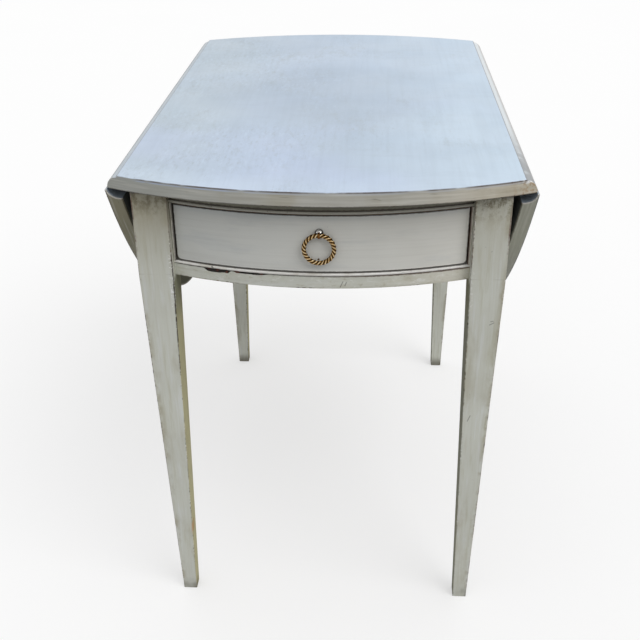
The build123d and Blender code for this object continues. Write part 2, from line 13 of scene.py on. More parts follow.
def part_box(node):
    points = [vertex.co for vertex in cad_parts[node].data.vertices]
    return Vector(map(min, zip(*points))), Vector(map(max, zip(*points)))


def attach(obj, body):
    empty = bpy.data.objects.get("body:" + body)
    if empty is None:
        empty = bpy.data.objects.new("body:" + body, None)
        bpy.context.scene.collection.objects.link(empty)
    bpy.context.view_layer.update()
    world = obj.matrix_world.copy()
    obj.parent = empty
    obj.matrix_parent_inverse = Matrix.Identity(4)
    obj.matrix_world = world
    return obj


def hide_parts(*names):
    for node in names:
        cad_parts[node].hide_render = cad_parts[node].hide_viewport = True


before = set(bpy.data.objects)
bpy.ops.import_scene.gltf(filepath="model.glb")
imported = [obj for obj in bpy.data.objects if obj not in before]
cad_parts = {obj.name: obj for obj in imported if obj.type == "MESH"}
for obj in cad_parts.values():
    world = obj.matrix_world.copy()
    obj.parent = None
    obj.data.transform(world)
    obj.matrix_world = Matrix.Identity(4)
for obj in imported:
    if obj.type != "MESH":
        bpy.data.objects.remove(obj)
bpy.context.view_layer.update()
MM = 0.001
HANDS = (("left", -1), ("right", 1))
ENDS = (("front", -1), ("back", 1))
UP = (0.0, 0.0, 1.0)
TO_FRONT = (0.0, -1.0, 0.0)

# Camera, worked out from the corners of the table in the photograph, with angles in degrees
CAMERA_PLACE = (0.0631, -1.4676, 1.1218)
CAMERA_YAW = -3.36  # negative to the left of +Y
CAMERA_DOWN = 29.17
CAMERA_ROLL = -0.58
CAMERA_LENS = 52.74
SENSOR = 36.0
CLIP_NEAR = 0.05
CLIP_FAR = 100.0

# Light
SKY_LEVEL = 0.40  # at the horizon
SKY_ABOVE = 1.00  # overhead
SUN = 0.95
SUN_ANGLE = 40.0
SUN_FROM = (0.80, -0.62, 1.10)
FLOOR_HALF = 20.0
FLOOR_DROP = 0.2 * MM  # below the feet
FLOOR_GLOW = 0.5  # share of the floor's white that needs no light
FLOOR_SEEN = 0.47  # grey that is seen
FLOOR_MOTTLE = 0.01
FLOOR_BOUNCE = 0.2  # grey that lights the object from below

# Rope ring and its post
STRANDS = 3
TURNS = 8
ROPE_STEPS = 384
ROPE_SIDES = 36
ROPE_DEPTH = 0.30  # of the grooves, as a share of the wire's radius
BALL_BEHIND = 3.9 * MM  # ball's centre behind the ring's wire
BALL_HIGHLIGHT_TOWARD = (0.0, -0.76, 0.65)  # direction of the ball's painted highlight, towards the front and above
EYE_REACH = 1.7 * MM  # brown eye of the post beyond the wire, painted shade where the ring hangs
EYE_HALF = 1.9 * MM
EYE_SOFT = 0.3 * MM

# Grain: how much a noise is squeezed on each axis, least along the fibres
ALONG_X = (1, 6, 60)
ALONG_Y = (60, 1, 60)
ALONG_Z = (80, 80, 1)
WOOD_ALONG_X = (1, 60, 60)
TOP_GRAIN = (26, 1, 26)
EDGE_GRAIN = (3, 3, 70)


def middle(name):
    low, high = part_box(name)
    return (low + high) / 2


# Places of the painted pieces
OVAL_X = 0.540  # half width with both leaves up
OVAL_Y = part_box("top_board")[1].y
UNDER, HEIGHT = (corner.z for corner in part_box("top_board"))
PIN = middle("hinge_pin_right_front")
HANG = 3.8  # degrees that a leaf hangs inward of plumb
RULE_GAP = 0.6 * MM
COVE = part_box("top_board")[1].x - PIN.x + RULE_GAP  # radius of a leaf's cove round the pin
RAIL_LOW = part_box("front_lower_rail")[0].z
LEG_HALF = 23 * MM
FOOT_HALF = 10.5 * MM
BEAD_LOW, OPEN_LOW = (corner.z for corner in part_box("bead_bottom"))
BEAD_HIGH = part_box("bead_top")[1].z
FRONT_LOW, FRONT_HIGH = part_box("drawer_front")

# Places of wear
ARRIS = 1.2 * MM  # width of the thread of glaze along an arris
FRONT_CORNER = 6 * MM  # round of the glaze in the drawer front's lower corners
PEG_X, PEG_Z, PEG_RADIUS = -0.001, 0.6095, 1.1 * MM  # small hole under the ring
CHIP_FROM, CHIP_TO, CHIP_DEPTH = -0.146, -0.122, 5.6 * MM  # of the lower rail, under the bead
THIN_FROM, THIN_TO, THIN_DEPTH = -0.104, -0.076, 4.4 * MM  # second chip, beside it
# Height of a painted shade line along the legs' crease
TAPER_CREASE = RAIL_LOW + 6 * MM
LEG_WEAR = {-1: 1.0, 1: 0.35}  # chipping of the inner arris under the rail
LEG_DIRT_AND_SHADE = {-1: 0.75, 1: 0.4}  # dirt and painted shade that deepen towards the top
BARE_LEG = "leg_front_left"
BARE_LOW, BARE_HIGH = 0.122, 0.136  # patch of that leg that is rubbed to the wood
SCRATCH_WIDE = 0.8 * MM
SCRATCH_DARK = 0.55
SCRATCHES = {
    "leg_front_right": (
        ((0.2095, 0.357), (0.2060, 0.347)),
        ((0.2245, 0.506), (0.2300, 0.5095)),
        ((0.2255, 0.511), (0.2290, 0.512)),
    ),
    "front_lower_rail": (((0.0300, 0.578), (0.0265, 0.570)), ((0.0345, 0.577), (0.0325, 0.572))),
}


def srgb(red, green, blue):
    """Linear colour of an 8-bit one."""
    linear = [((c / 255 + 0.055) / 1.055) ** 2.4 for c in (red, green, blue)]
    return (*linear, 1.0)


def grey(level):
    return (level, level, level, 1.0)


# Colours, some of them by side: -1 is left and 1 is right
FRAME_COAT = srgb(227, 229, 219)
FRAME_LIGHT = srgb(240, 243, 241)
# Lighter copy of the frame paint for the back legs: painted light
BACK_LIT_COAT = srgb(243, 245, 233)
FRAME_OLIVE = srgb(203, 202, 180)
# Inward faces of the legs: painted light and shade, a lit yellow-olive tint on the left leg and dark
# grey-green on the right
INNER_LIGHT_AND_SHADE = {-1: srgb(211, 204, 154), 1: srgb(138, 141, 122)}
INNER_OLIVE_SHADE = srgb(128, 129, 94)
# Drawer paint: cool on the left, lighter and warmer on the right as painted light
DRAWER_COOL = srgb(220, 222, 218)
DRAWER_WARM = srgb(236, 235, 228)
# Bead coats: the lower bead's, lighter than the frame paint, is a painted highlight; the upper bead's is
# painted shade
BEAD_HIGHLIGHT_COAT = srgb(248, 247, 243)
SIDE_BEAD_COAT = srgb(226, 223, 214)
UPPER_BEAD_SHADE = srgb(188, 186, 176)
RAIL_WARM = srgb(234, 229, 213)
# Dark coat of the upper rail: painted shade under the top
UPPER_RAIL_SHADE = srgb(130, 130, 114)
# Pale blue of the top and leaves: their paint, and partly a painted reflection of a blue sky
TOP_COAT_AND_SKY = srgb(183, 199, 217)
TOP_LIGHT = srgb(197, 215, 231)
TOP_GREY = srgb(186, 199, 206)
TOP_LAVENDER = srgb(189, 203, 229)
TOP_PALE = srgb(205, 221, 237)
LEAF_COAT_AND_SKY = srgb(188, 201, 215)
LEAF_LIGHT = srgb(198, 213, 226)
SHOULDER_COAT = {-1: srgb(182, 192, 200), 1: srgb(216, 222, 225)}
SHOULDER_RIM = {-1: srgb(140, 144, 144), 1: srgb(172, 170, 166)}
SHOULDER_GREYER = srgb(128, 130, 132)
EDGE_COAT = srgb(196, 195, 187)
# Dimmer left end and warmer right end of the top's rim: painted light
EDGE_DIM = srgb(176, 178, 172)
EDGE_WARM = srgb(213, 206, 190)
# Rims of the leaves, darkened as painted shade, the left one olive with painted green bounce light
LEAF_EDGE_COAT_AND_SHADE = {-1: srgb(148, 144, 119), 1: srgb(186, 187, 171)}
UNDER_TOP = srgb(158, 158, 148)
UNDER_COOL_SHADE = srgb(84, 89, 90)
UNDER_OLIVE_BOUNCE = srgb(116, 117, 98)
COVE_SHADE = srgb(74, 82, 96)
# Dark glaze, also used for painted shade
GLAZE_AND_SHADE = srgb(56, 48, 40)
GLAZE_BROWN = srgb(100, 76, 62)
GLAZE_THIN = srgb(138, 131, 112)
# Cool grey glaze, also used for painted shade and the darker parts of a painted reflection
GLAZE_COOL_AND_SHADE = srgb(138, 152, 166)
SCUFF = srgb(150, 160, 164)
SOIL = srgb(164, 154, 122)
# Grime and a dingy tone, also used for painted shade under the top
GRIME_AND_SHADE = srgb(94, 87, 68)
DINGY_AND_SHADE = srgb(166, 160, 138)
BARE = srgb(206, 164, 118)
PLUM = srgb(76, 68, 70)
RUST = srgb(168, 130, 82)
RUBBED = srgb(128, 107, 80)
# Light ground colour, also used for painted highlights
GROUND_AND_HIGHLIGHT = srgb(232, 229, 221)
CHALK = srgb(253, 253, 251)
CHIP_BLACK = srgb(22, 16, 13)
CHIP_RED = srgb(86, 42, 28)
OLD_WOOD = srgb(44, 31, 26)
OLD_WOOD_LIGHT = srgb(70, 49, 38)
WOOD = srgb(134, 98, 62)
WOOD_LIGHT = srgb(176, 138, 96)
WOOD_FIBRE = srgb(70, 44, 28)
WOOD_STAIN = srgb(84, 62, 44)
BRASS_RIDGE = srgb(214, 196, 160)
BRASS_DULL = srgb(166, 138, 94)
BRASS_FLANK = srgb(126, 94, 48)
BRASS_DEEP = srgb(50, 33, 12)
# Post colours: painted dark reflection, a painted highlight, and a brown eye of painted shade
POST_DARK = srgb(58, 54, 50)
POST_HIGHLIGHT = srgb(246, 245, 242)
POST_EYE_SHADE = srgb(104, 70, 34)
IRON_FACE = srgb(70, 64, 58)
IRON_RUST = srgb(92, 62, 42)
STEEL_FACE = srgb(150, 144, 134)
STEEL_RUST = srgb(110, 82, 58)
WHITE = grey(1.0)


class Nodes:
    """A node tree, built a step at a time."""

    def __init__(self, tree):
        self.tree = tree
        tree.nodes.clear()

    def add(self, kind, **settings):
        node = self.tree.nodes.new(kind)
        for name, value in settings.items():
            setattr(node, name, value)
        return node

    def plug(self, socket, value):
        if isinstance(value, bpy.types.NodeSocket):
            self.tree.links.new(value, socket)
        else:
            socket.default_value = value

    def split(self, vector):
        node = self.add("ShaderNodeSeparateXYZ")
        self.plug(node.inputs[0], vector)
        return tuple(node.outputs)

    def join(self, *parts):
        node = self.add("ShaderNodeCombineXYZ")
        for socket, value in zip(node.inputs, parts):
            self.plug(socket, value)
        return node.outputs[0]

    def math(self, operation, *values, clamp=False):
        node = self.add("ShaderNodeMath", operation=operation, use_clamp=clamp)
        for socket, value in zip(node.inputs, values):
            self.plug(socket, value)
        return node.outputs[0]

    def chain(self, operation, first, *others):
        for other in others:
            first = self.math(operation, first, other)
        return first

    def times(self, *values):
        return self.chain("MULTIPLY", *values)

    def plus(self, *values):
        return self.chain("ADD", *values)

    def least(self, *values):
        return self.chain("MINIMUM", *values)

    def most(self, *values):
        return self.chain("MAXIMUM", *values)

    def minus(self, first, second):
        return self.math("SUBTRACT", first, second)

    def size(self, value):
        return self.math("ABSOLUTE", value)

    def length(self, first, second):
        return self.math("SQRT", self.plus(self.times(first, first), self.times(second, second)))

    def ramp(self, value, low, high, out_low=0.0, out_high=1.0, kind="SMOOTHSTEP"):
        """Step from low to high, which may be the larger first."""
        node = self.add("ShaderNodeMapRange", interpolation_type=kind, clamp=True)
        for socket, number in zip(node.inputs, (value, low, high, out_low, out_high)):
            self.plug(socket, number)
        return node.outputs["Result"]

    def band(self, value, low, high, soft):
        """One between low and high, falling to nothing over a soft distance outside."""
        return self.times(self.ramp(value, low - soft, low), self.ramp(value, high + soft, high))

    def mix(self, factor, first, second):
        node = self.add("ShaderNodeMix", data_type="RGBA")
        for index, value in ((0, factor), (6, first), (7, second)):
            self.plug(node.inputs[index], value)
        return node.outputs[2]

    def dot(self, vector, direction):
        node = self.add("ShaderNodeVectorMath", operation="DOT_PRODUCT")
        self.plug(node.inputs[0], vector)
        self.plug(node.inputs[1], direction)
        return node.outputs["Value"]

    def shown(self):
        """One for rays that show the background, nothing for those that light the object."""
        path = self.add("ShaderNodeLightPath")
        return self.most(*(path.outputs[f"Is {kind} Ray"] for kind in ("Camera", "Glossy", "Transmission")))


class Shade(Nodes):
    """One material with its shader."""

    def __init__(self, name):
        self.material = bpy.data.materials.new(name)
        self.material.use_nodes = True
        super().__init__(self.material.node_tree)
        self.shader = self.add("ShaderNodeBsdfPrincipled")
        output = self.add("ShaderNodeOutputMaterial")
        self.plug(output.inputs["Surface"], self.shader.outputs["BSDF"])
        coordinates = self.add("ShaderNodeTexCoord")
        self.place = coordinates.outputs["Object"]
        self.normal = coordinates.outputs["Normal"]
        self.x, self.y, self.z = self.split(self.place)

    def set(self, **values):
        """Sockets of the shader, named in lower case with underscores."""
        for name, value in values.items():
            self.plug(self.shader.inputs[name.replace("_", " ").title().replace("Ior", "IOR")], value)

    def noise(self, scale, stretch=(1, 1, 1), detail=3.0, roughness=0.5, seed=0.0, warp=0.0):
        """Noise over the object's own space, moved along by the seed."""
        mapping = self.add("ShaderNodeMapping")
        self.plug(mapping.inputs["Vector"], self.place)
        self.plug(mapping.inputs["Location"], (seed, seed * 1.7, seed * 2.3))
        self.plug(mapping.inputs["Scale"], stretch)
        node = self.add("ShaderNodeTexNoise")
        self.plug(node.inputs["Vector"], mapping.outputs["Vector"])
        settings = {"Scale": scale, "Detail": detail, "Roughness": roughness, "Distortion": warp}
        for name, value in settings.items():
            self.plug(node.inputs[name], value)
        return node.outputs["Fac"]

    def faces(self, direction, low=0.4, high=0.8):
        """One where the surface faces a direction."""
        return self.ramp(self.dot(self.normal, direction), low, high)

    def bump(self, *layers):
        """Relief from pairs of height and depth."""
        normal = None
        for height, depth in layers:
            node = self.add("ShaderNodeBump")
            self.plug(node.inputs["Height"], height)
            self.plug(node.inputs["Strength"], 1.0)
            self.plug(node.inputs["Distance"], depth)
            if normal:
                self.plug(node.inputs["Normal"], normal)
            normal = node.outputs["Normal"]
        self.plug(self.shader.inputs["Normal"], normal)


class Paint(Shade):
    """Brushed paint under a thin brown glaze, worn at the arrises.

    Each layer works on the colour left by the one before it.
    """

    def __init__(self, name, coat, seed):
        super().__init__(name)
        self.colour = coat
        self.seed = seed
        self.chip = self.noise(190, detail=4, roughness=0.65, seed=seed + 1)
        self.run = self.noise(18, detail=3, roughness=0.6, seed=seed + 2)
        self.relief = []
        self.dull = 0.0

    def over(self, factor, colour):
        self.colour = self.mix(factor, self.colour, colour)

    def matt(self, where, amount):
        """Less gloss."""
        self.dull = self.plus(self.times(where, amount), self.dull)

    def brushed(self, grain, strength, glaze=GLAZE_THIN):
        """Fine streaks along the grain."""
        broad = self.noise(4, stretch=grain, detail=3, seed=self.seed + 3)
        fine = self.noise(11, stretch=grain, detail=2, seed=self.seed + 4)
        self.over(self.ramp(broad, 0.42, 0.76, 0.0, strength), glaze)
        self.over(self.ramp(fine, 0.48, 0.8, 0.0, strength * 0.8), glaze)
        self.relief += [(broad, 0.06 * MM), (fine, 0.04 * MM)]

    def streaked(self, stretch, light, dark):
        """Brush marks of two tones, some millimetres wide."""
        mark = self.noise(12, stretch=stretch, detail=4, roughness=0.6, seed=self.seed + 9)
        self.over(self.ramp(mark, 0.48, 0.32, 0.0, light), FRAME_LIGHT)
        self.over(self.ramp(mark, 0.52, 0.70, 0.0, dark), FRAME_OLIVE)

    def clouded(self, strength, glaze=GLAZE_THIN):
        """Soft uneven tone over a hand's width."""
        cloud = self.noise(8, detail=3, seed=self.seed + 5)
        self.over(self.ramp(cloud, 0.36, 0.68, 0.0, strength), glaze)

    def soiled(self, strength, stretch=(1, 1, 1), tone=SOIL):
        """Patches where the glaze was wiped less."""
        patch = self.noise(26, stretch=stretch, detail=4, roughness=0.62, seed=self.seed + 6)
        self.over(self.times(self.ramp(patch, 0.5, 0.72), strength), tone)

    def specked(self, strength):
        """A few small dark nicks."""
        speck = self.times(self.ramp(self.chip, 0.69, 0.75), self.ramp(self.run, 0.52, 0.62))
        self.over(self.times(speck, strength), GLAZE_AND_SHADE)

    def rubbed(self, away, reach, amount, line=0.4, always=0.0):
        """Paint gone along an arris, where away is the distance from it; always marks the worst stretch."""
        near = self.ramp(away, 1.7 * ARRIS, 0.6 * ARRIS)
        self.over(self.times(near, self.ramp(self.run, 0.36, 0.6), line), GLAZE_THIN)
        where = self.most(self.ramp(self.run, 0.42, 0.64), always)
        bite = self.times(self.ramp(self.chip, 0.4, 0.72), where, amount, reach)
        gone = self.ramp(self.minus(bite, away), -0.1 * MM, 0.35 * MM)
        tone = self.noise(75, detail=3, seed=self.seed + 7)
        under = self.mix(self.ramp(tone, 0.44, 0.56), GLAZE_AND_SHADE, RUBBED)
        under = self.mix(self.ramp(tone, 0.58, 0.64), under, GROUND_AND_HIGHLIGHT)
        self.over(self.times(gone, 0.85), under)
        self.relief.append((gone, -0.2 * MM))
        self.matt(gone, 0.2)

    def rubbed_below(self):
        """Wear along the lower arrises of a rail, on its upright faces."""
        upright = self.ramp(self.size(self.dot(self.normal, UP)), 0.8, 0.4)
        away = self.plus(self.z, -RAIL_LOW)
        self.rubbed(away, 2.2 * MM, self.times(upright, 0.8), self.times(upright, 0.4))

    def filled(self, away, wide, strength, colour=GLAZE_AND_SHADE):
        """Dark line along a quirk, where away is the distance from it: glaze, and in some places painted
        shade.
        """
        ragged = self.plus(away, self.times(self.plus(self.chip, -0.5), wide))
        dark = self.times(self.ramp(ragged, wide, 0.35 * wide), strength)
        self.over(dark, colour)
        self.matt(dark, 0.2)

    def scratched(self, start, end):
        """Straight scratch between two points, given as x and z, on a surface that faces the front."""
        (x0, z0), (x1, z1) = start, end
        long = hypot(x1 - x0, z1 - z0)
        ahead, rise = (x1 - x0) / long, (z1 - z0) / long
        right, up = self.plus(self.x, -x0), self.plus(self.z, -z0)
        along = self.plus(self.times(right, ahead), self.times(up, rise))
        off = self.size(self.minus(self.times(up, ahead), self.times(right, rise)))
        line = self.ramp(off, SCRATCH_WIDE, 0.4 * SCRATCH_WIDE)
        line = self.times(line, self.band(along, 0, long, SCRATCH_WIDE))
        self.over(self.times(line, self.faces(TO_FRONT), SCRATCH_DARK), GLAZE_AND_SHADE)

    def bare(self, where, dark, light, grain):
        """Wood that was never painted."""
        rings = self.noise(6, stretch=grain, detail=5, roughness=0.6, seed=self.seed + 15, warp=0.3)
        self.over(where, self.mix(self.ramp(rings, 0.38, 0.66), dark, light))
        self.matt(where, 0.25)

    def finish(self, rough=0.42):
        sheen = self.noise(13, detail=3, seed=self.seed + 8)
        self.set(base_color=self.colour, specular_ior_level=0.4)
        gloss = self.plus(self.ramp(sheen, 0.3, 0.7, rough - 0.05, rough + 0.06), self.dull)
        self.set(roughness=self.least(gloss, 1.0))
        self.bump(*self.relief)
        return self.material


def dress(material, *names):
    """Give CAD nodes a finished material."""
    for name in names:
        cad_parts[name].material_slots[0].material = material


class LegPaint(Paint):
    """Paint of one leg, with the distances and faces that its layers go by."""

    def __init__(self, end, hand, ahead, side):
        # Back legs get the lighter copy of the paint, as painted light
        coat = FRAME_COAT if end == "front" else BACK_LIT_COAT
        super().__init__(f"leg paint {end} {hand}", coat, 3.1 * side + 1.7 * ahead)
        self.node = f"leg_{end}_{hand}"
        self.side = side
        centre = middle(self.node)
        self.out = self.times(self.plus(self.x, -centre.x), side)
        self.deep = self.times(self.plus(self.y, -centre.y), ahead)
        self.half = self.ramp(self.z, 0.0, RAIL_LOW, FOOT_HALF, LEG_HALF, "LINEAR")
        self.away = self.minus(self.half, self.least(self.size(self.out), self.size(self.deep)))
        self.under = self.minus(UNDER, self.z)
        self.inward = self.faces((-side, 0.0, 0.0))
        self.crosswise = self.ramp(self.size(self.dot(self.normal, TO_FRONT)), 0.4, 0.8)
        self.inner_half = self.ramp(self.out, 0.0, -5 * MM)
        self.end_half = self.ramp(self.deep, 0.0, 5 * MM)
        self.patch = self.noise(55, stretch=(1, 1, 0.5), detail=5, roughness=0.65, seed=self.seed + 10)


def leg_coat(s):
    """Streaks along the leg, darker towards the top with dirt and painted shade, and painted light and
    shade on the face inward.
    """
    below = s.ramp(s.z, RAIL_LOW + 10 * MM, RAIL_LOW - 10 * MM)
    # Painted light and shade on the inward face: a lit tint low down, olive shade just below the rail
    inside = s.mix(s.ramp(s.z, RAIL_LOW - 90 * MM, RAIL_LOW - 20 * MM), INNER_LIGHT_AND_SHADE[s.side], INNER_OLIVE_SHADE)
    s.streaked((12, 12, 1), 0.5, 0.45)
    # Darker towards the top: dirt and painted shade
    s.over(s.ramp(s.z, RAIL_LOW - 20 * MM, UNDER, 0.0, LEG_DIRT_AND_SHADE[s.side]), DINGY_AND_SHADE)
    s.over(s.times(s.inward, below, 0.85), inside)
    s.matt(s.times(s.inward, below), 0.5)
    s.clouded(0.10)
    s.brushed(ALONG_Z, 0.10, SOIL)
    s.soiled(s.ramp(s.away, 20 * MM, 3 * MM, 0.12, 0.35), (1, 1, 0.45))


def leg_dirt_and_shade(s):
    """Dirt along the outer margin and at the foot, dirt with painted shade under the top, and glaze in the
    joints.
    """
    margin = s.times(s.ramp(s.minus(s.half, s.out), 9 * MM, 1 * MM), s.crosswise)
    s.over(s.times(margin, s.ramp(s.patch, 0.46, 0.62), 0.5), SOIL)
    if s.side > 0:
        s.over(s.times(margin, s.band(s.z, RAIL_LOW - 80 * MM, RAIL_LOW, 50 * MM), 0.45), SOIL)
    mottle = s.noise(110, stretch=(1, 1, 0.7), detail=6, roughness=0.75, seed=s.seed + 12)
    s.over(s.times(s.ramp(s.under, 70 * MM, 0.0), s.ramp(mottle, 0.4, 0.6, 0.1, 0.55)), SOIL)
    # Darker bands just under the top: grime and painted shade
    s.over(s.times(s.ramp(s.under, 42 * MM, 8 * MM), s.ramp(mottle, 0.44, 0.62, 0.1, 0.8)), GRIME_AND_SHADE)
    s.over(s.times(s.ramp(s.z, 26 * MM, 2 * MM), s.ramp(s.run, 0.34, 0.56, 0.1, 0.75)), GRIME_AND_SHADE)
    s.filled(s.under, 7 * MM, 0.7, PLUM)
    # Painted shade: a faint dark line along the crease near where the taper starts
    crease_line = s.size(s.plus(s.z, -TAPER_CREASE))
    s.filled(crease_line, 0.9 * MM, s.ramp(s.run, 0.4, 0.6, 0.0, 0.35), GLAZE_THIN)
    s.specked(0.5)


def leg_wear(s):
    """Rubbed and chipped arrises, the inner one worst below the rail, and glaze beside the bead."""
    below_rail = s.band(s.z, RAIL_LOW - 90 * MM, RAIL_LOW + 10 * MM, 40 * MM)
    worst = s.times(s.inner_half, s.end_half, below_rail, LEG_WEAR[s.side])
    s.rubbed(s.away, 2.6 * MM, s.plus(s.times(worst, 0.4), 0.8), 0.4, s.times(worst, 0.8))
    flake = s.noise(380, detail=2, seed=s.seed + 11)
    fretted = s.times(s.ramp(s.away, 2.4 * MM, 0.8 * MM), s.ramp(s.patch, 0.44, 0.56))
    s.over(s.times(fretted, s.ramp(flake, 0.55, 0.61), 0.65), GLAZE_AND_SHADE)
    s.over(s.times(fretted, s.ramp(flake, 0.44, 0.38), 0.6), CHALK)
    s.over(s.times(worst, s.ramp(s.away, 2.0 * MM, 1.0 * MM), s.ramp(s.chip, 0.36, 0.48), 0.9), GLAZE_AND_SHADE)
    high = s.ramp(s.z, RAIL_LOW - 52 * MM, RAIL_LOW - 38 * MM)
    splinters = s.times(high, s.ramp(flake, 0.52, 0.58), s.ramp(s.chip, 0.40, 0.48))
    s.over(s.times(worst, s.band(s.away, 1.8 * MM, 4.2 * MM, 1.5 * MM), splinters), CHALK)
    if s.node == BARE_LEG:
        ragged = s.plus(s.z, s.times(s.plus(s.chip, -0.5), 20 * MM))
        worn = s.band(ragged, BARE_LOW, BARE_HIGH, 6 * MM)
        s.over(s.times(worn, s.inner_half, s.ramp(s.away, 3 * MM, 1 * MM), 0.4), BARE)
        s.over(s.times(worn, s.inward, s.ramp(s.deep, -4 * MM, 2 * MM), 0.75), BARE)
    outer_half = s.ramp(s.out, 0.0, 5 * MM)
    rail_high = s.times(s.end_half, outer_half, s.ramp(s.under, 90 * MM, 50 * MM))
    flaked = s.times(s.ramp(s.away, 2.6 * MM, 1.0 * MM), s.ramp(s.patch, 0.4, 0.54))
    s.over(s.times(rail_high, flaked, 0.75), CHIP_RED)
    beside_bead = s.times(s.inner_half, s.end_half, s.ramp(s.z, BEAD_LOW, OPEN_LOW))
    s.filled(s.away, 1.0 * MM, s.times(beside_bead, 0.6), GLAZE_BROWN)


def leg_paint(end, hand, ahead, side):
    """One leg: streaked along its length, dirty under the top and at the foot, worn along its arrises."""
    s = LegPaint(end, hand, ahead, side)
    leg_coat(s)
    leg_dirt_and_shade(s)
    leg_wear(s)
    for start, finish in SCRATCHES.get(s.node, ()):
        s.scratched(start, finish)
    dress(s.finish(), s.node)


class BoardPaint(Paint):
    """Paint of the top board, where side is 0, or of the leaf on one side.

    Across and height place a point as if the leaves were raised.
    """

    def __init__(self, name, side, seed):
        super().__init__(name, LEAF_COAT_AND_SKY if side else TOP_COAT_AND_SKY, seed)
        self.side = side
        self.across, self.height = self.raised() if side else (self.size(self.x), self.z)
        oval = self.length(self.times(self.across, 1 / OVAL_X), self.times(self.y, 1 / OVAL_Y))
        self.inset = self.times(self.minus(1.0, oval), OVAL_Y)
        self.below = self.minus(HEIGHT, self.height)
        self.upper = self.most(self.inset, self.below)
        self.lower = self.most(self.inset, self.plus(self.height, -UNDER))
        self.from_pin = self.length(self.plus(self.across, -PIN.x), self.plus(self.height, -PIN.z))
        self.joint = self.ramp(self.from_pin, COVE + 1.5 * MM, COVE + 0.5 * MM)
        self.on_oval = self.ramp(self.inset, 2.4 * MM, 1.6 * MM)
        self.off_oval = self.minus(1.0, self.on_oval)
        edges = self.most(self.on_oval, self.minus(1.0, self.joint))
        self.rim = self.times(edges, self.ramp(self.below, 0.3 * MM, 0.9 * MM))
        self.face = self.ramp(self.below, 1.0 * MM, 0.4 * MM)

    def raised(self):
        """Where a point of the leaf comes when the leaf is up, which its textures follow too."""
        out = self.plus(self.times(self.x, self.side), -PIN.x)
        rise = self.plus(self.z, -PIN.z)
        turn = radians(90 + HANG)
        across = self.plus(self.times(out, cos(turn)), self.times(rise, -sin(turn)), PIN.x)
        height = self.plus(self.times(out, sin(turn)), self.times(rise, cos(turn)), PIN.z)
        self.place = self.join(across, self.y, height)
        return across, height


def board_tone(s):
    """Broad tones; the top is greyer on the left, and a painted reflection of the sky makes it lighter on
    the right and by the front rim and duller in the middle and towards the back.
    """
    broad = s.noise(3.5, detail=2, seed=s.seed + 9)
    if s.side:
        s.over(s.ramp(broad, 0.35, 0.65), LEAF_LIGHT)
    else:
        # Painted reflection of the sky: lighter on the right and by the front rim, darker in the middle and
        # towards the back
        s.over(s.ramp(s.x, -0.05, 0.26), TOP_LIGHT)
        s.over(s.ramp(s.x, -0.06, -0.22, 0.0, 0.5), TOP_GREY)
        s.over(s.times(s.ramp(broad, 0.42, 0.62), s.ramp(s.y, 0.02, -0.2, 0.1, 0.6)), TOP_LAVENDER)
        s.over(s.times(s.ramp(s.inset, 70 * MM, 10 * MM), s.ramp(s.y, -0.2, -0.3), 0.4), TOP_PALE)
        s.over(s.ramp(s.length(s.times(s.x, 4), s.times(s.y, 4)), 1.0, 0.2, 0.0, 0.24), GLAZE_COOL_AND_SHADE)
        s.over(s.ramp(s.y, 0.16, 0.38, 0.0, 0.08), GLAZE_COOL_AND_SHADE)


def board_scuffs(s):
    """Brush marks, wiped glaze, smears, nicks and pits of the upper face, most of them on the left."""
    s.clouded(0.14, GLAZE_COOL_AND_SHADE)
    s.brushed(TOP_GRAIN, 0.09, GLAZE_COOL_AND_SHADE)
    wiped = s.noise(5, stretch=(1.5, 9, 1), detail=5, roughness=0.65, seed=s.seed + 10, warp=0.6)
    s.over(s.times(s.ramp(wiped, 0.5, 0.74), s.face, 0.08), GLAZE_COOL_AND_SHADE)
    where = s.times(s.noise(5, detail=2, seed=s.seed + 12), s.ramp(s.x, 0.16, -0.04, 0.85, 1.1))
    smear = s.noise(22, stretch=(1.8, 0.7, 1), detail=7, roughness=0.72, seed=s.seed + 11)
    s.over(s.times(s.ramp(smear, 0.5, 0.68), s.ramp(where, 0.42, 0.62), s.face, 0.29), SCUFF)
    nick = s.noise(110, stretch=(1.6, 0.5, 1), detail=4, roughness=0.6, seed=s.seed + 16)
    s.over(s.times(s.ramp(nick, 0.62, 0.70), s.ramp(where, 0.5, 0.66), s.face, 0.3), SCUFF)
    pits = s.noise(170, stretch=(1.2, 0.35, 1), detail=5, roughness=0.75, seed=s.seed + 17)
    patches = s.times(s.ramp(where, 0.40, 0.60, 0.12, 1.0), s.ramp(s.x, 0.1, -0.14, 0.4, 1.0), s.face)
    s.over(s.times(s.ramp(pits, 0.52, 0.68), patches, 0.34), SCUFF)
    s.over(s.times(s.ramp(pits, 0.46, 0.34), patches, 0.3), TOP_PALE)


